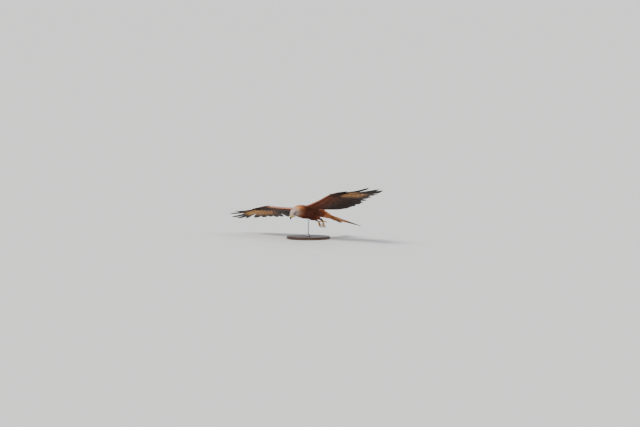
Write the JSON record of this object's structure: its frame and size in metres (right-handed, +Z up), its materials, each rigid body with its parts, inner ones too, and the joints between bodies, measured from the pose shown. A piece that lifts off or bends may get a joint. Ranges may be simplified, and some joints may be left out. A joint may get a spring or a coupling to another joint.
{
  "type": "red kite bird",
  "caption": "Life-size bird of prey gliding with banked wings, fingered wing tips and a forked tail, on a round base with a short rod.",
  "frame": {"origin": "centre of the stand base's underside", "axes": "+Z up, the bird faces -Y, +X towards its left wing"},
  "size_m": [1.5955, 0.5627, 0.3842],
  "materials": {
    "body_feathers": "dark rufous contour feathers, matt",
    "neck_feathers": "orange-tan streaked feathers, matt",
    "head_feathers": "pale pinkish-grey feathers with fine dark streaks, matt",
    "wing_feathers": "rufous and dark brown coverts, dusky and black flight feathers, satin",
    "tail_feathers": "rufous-orange tail feathers with dark tips, satin",
    "cere": "yellow bare skin, satin",
    "bill": "dark horn, satin",
    "eye": "glossy pale eye",
    "leg_skin": "yellow scaly skin, satin",
    "claw": "black horn, satin",
    "stand_wood": "dark stained wood, satin",
    "stand_steel": "brushed steel rod and collar"
  },
  "bodies": {
    "root": {"torso": "body_feathers", "neck": "neck_feathers", "head": "head_feathers", "cere": "cere", "bill_upper": "bill", "bill_lower": "bill", "tail": "tail_feathers", "stand_base": "stand_wood", "stand_collar": "stand_steel", "stand_rod": "stand_steel", "wing_left": "wing_feathers", "eye_left": "eye", "thigh_left": "body_feathers", "foot_left": "leg_skin", "claw_inner_left": "claw", "claw_middle_left": "claw", "claw_outer_left": "claw", "claw_hind_left": "claw", "wing_right": "wing_feathers", "eye_right": "eye", "thigh_right": "body_feathers", "foot_right": "leg_skin", "claw_inner_right": "claw", "claw_middle_right": "claw", "claw_outer_right": "claw", "claw_hind_right": "claw"}
  },
  "joints": []
}
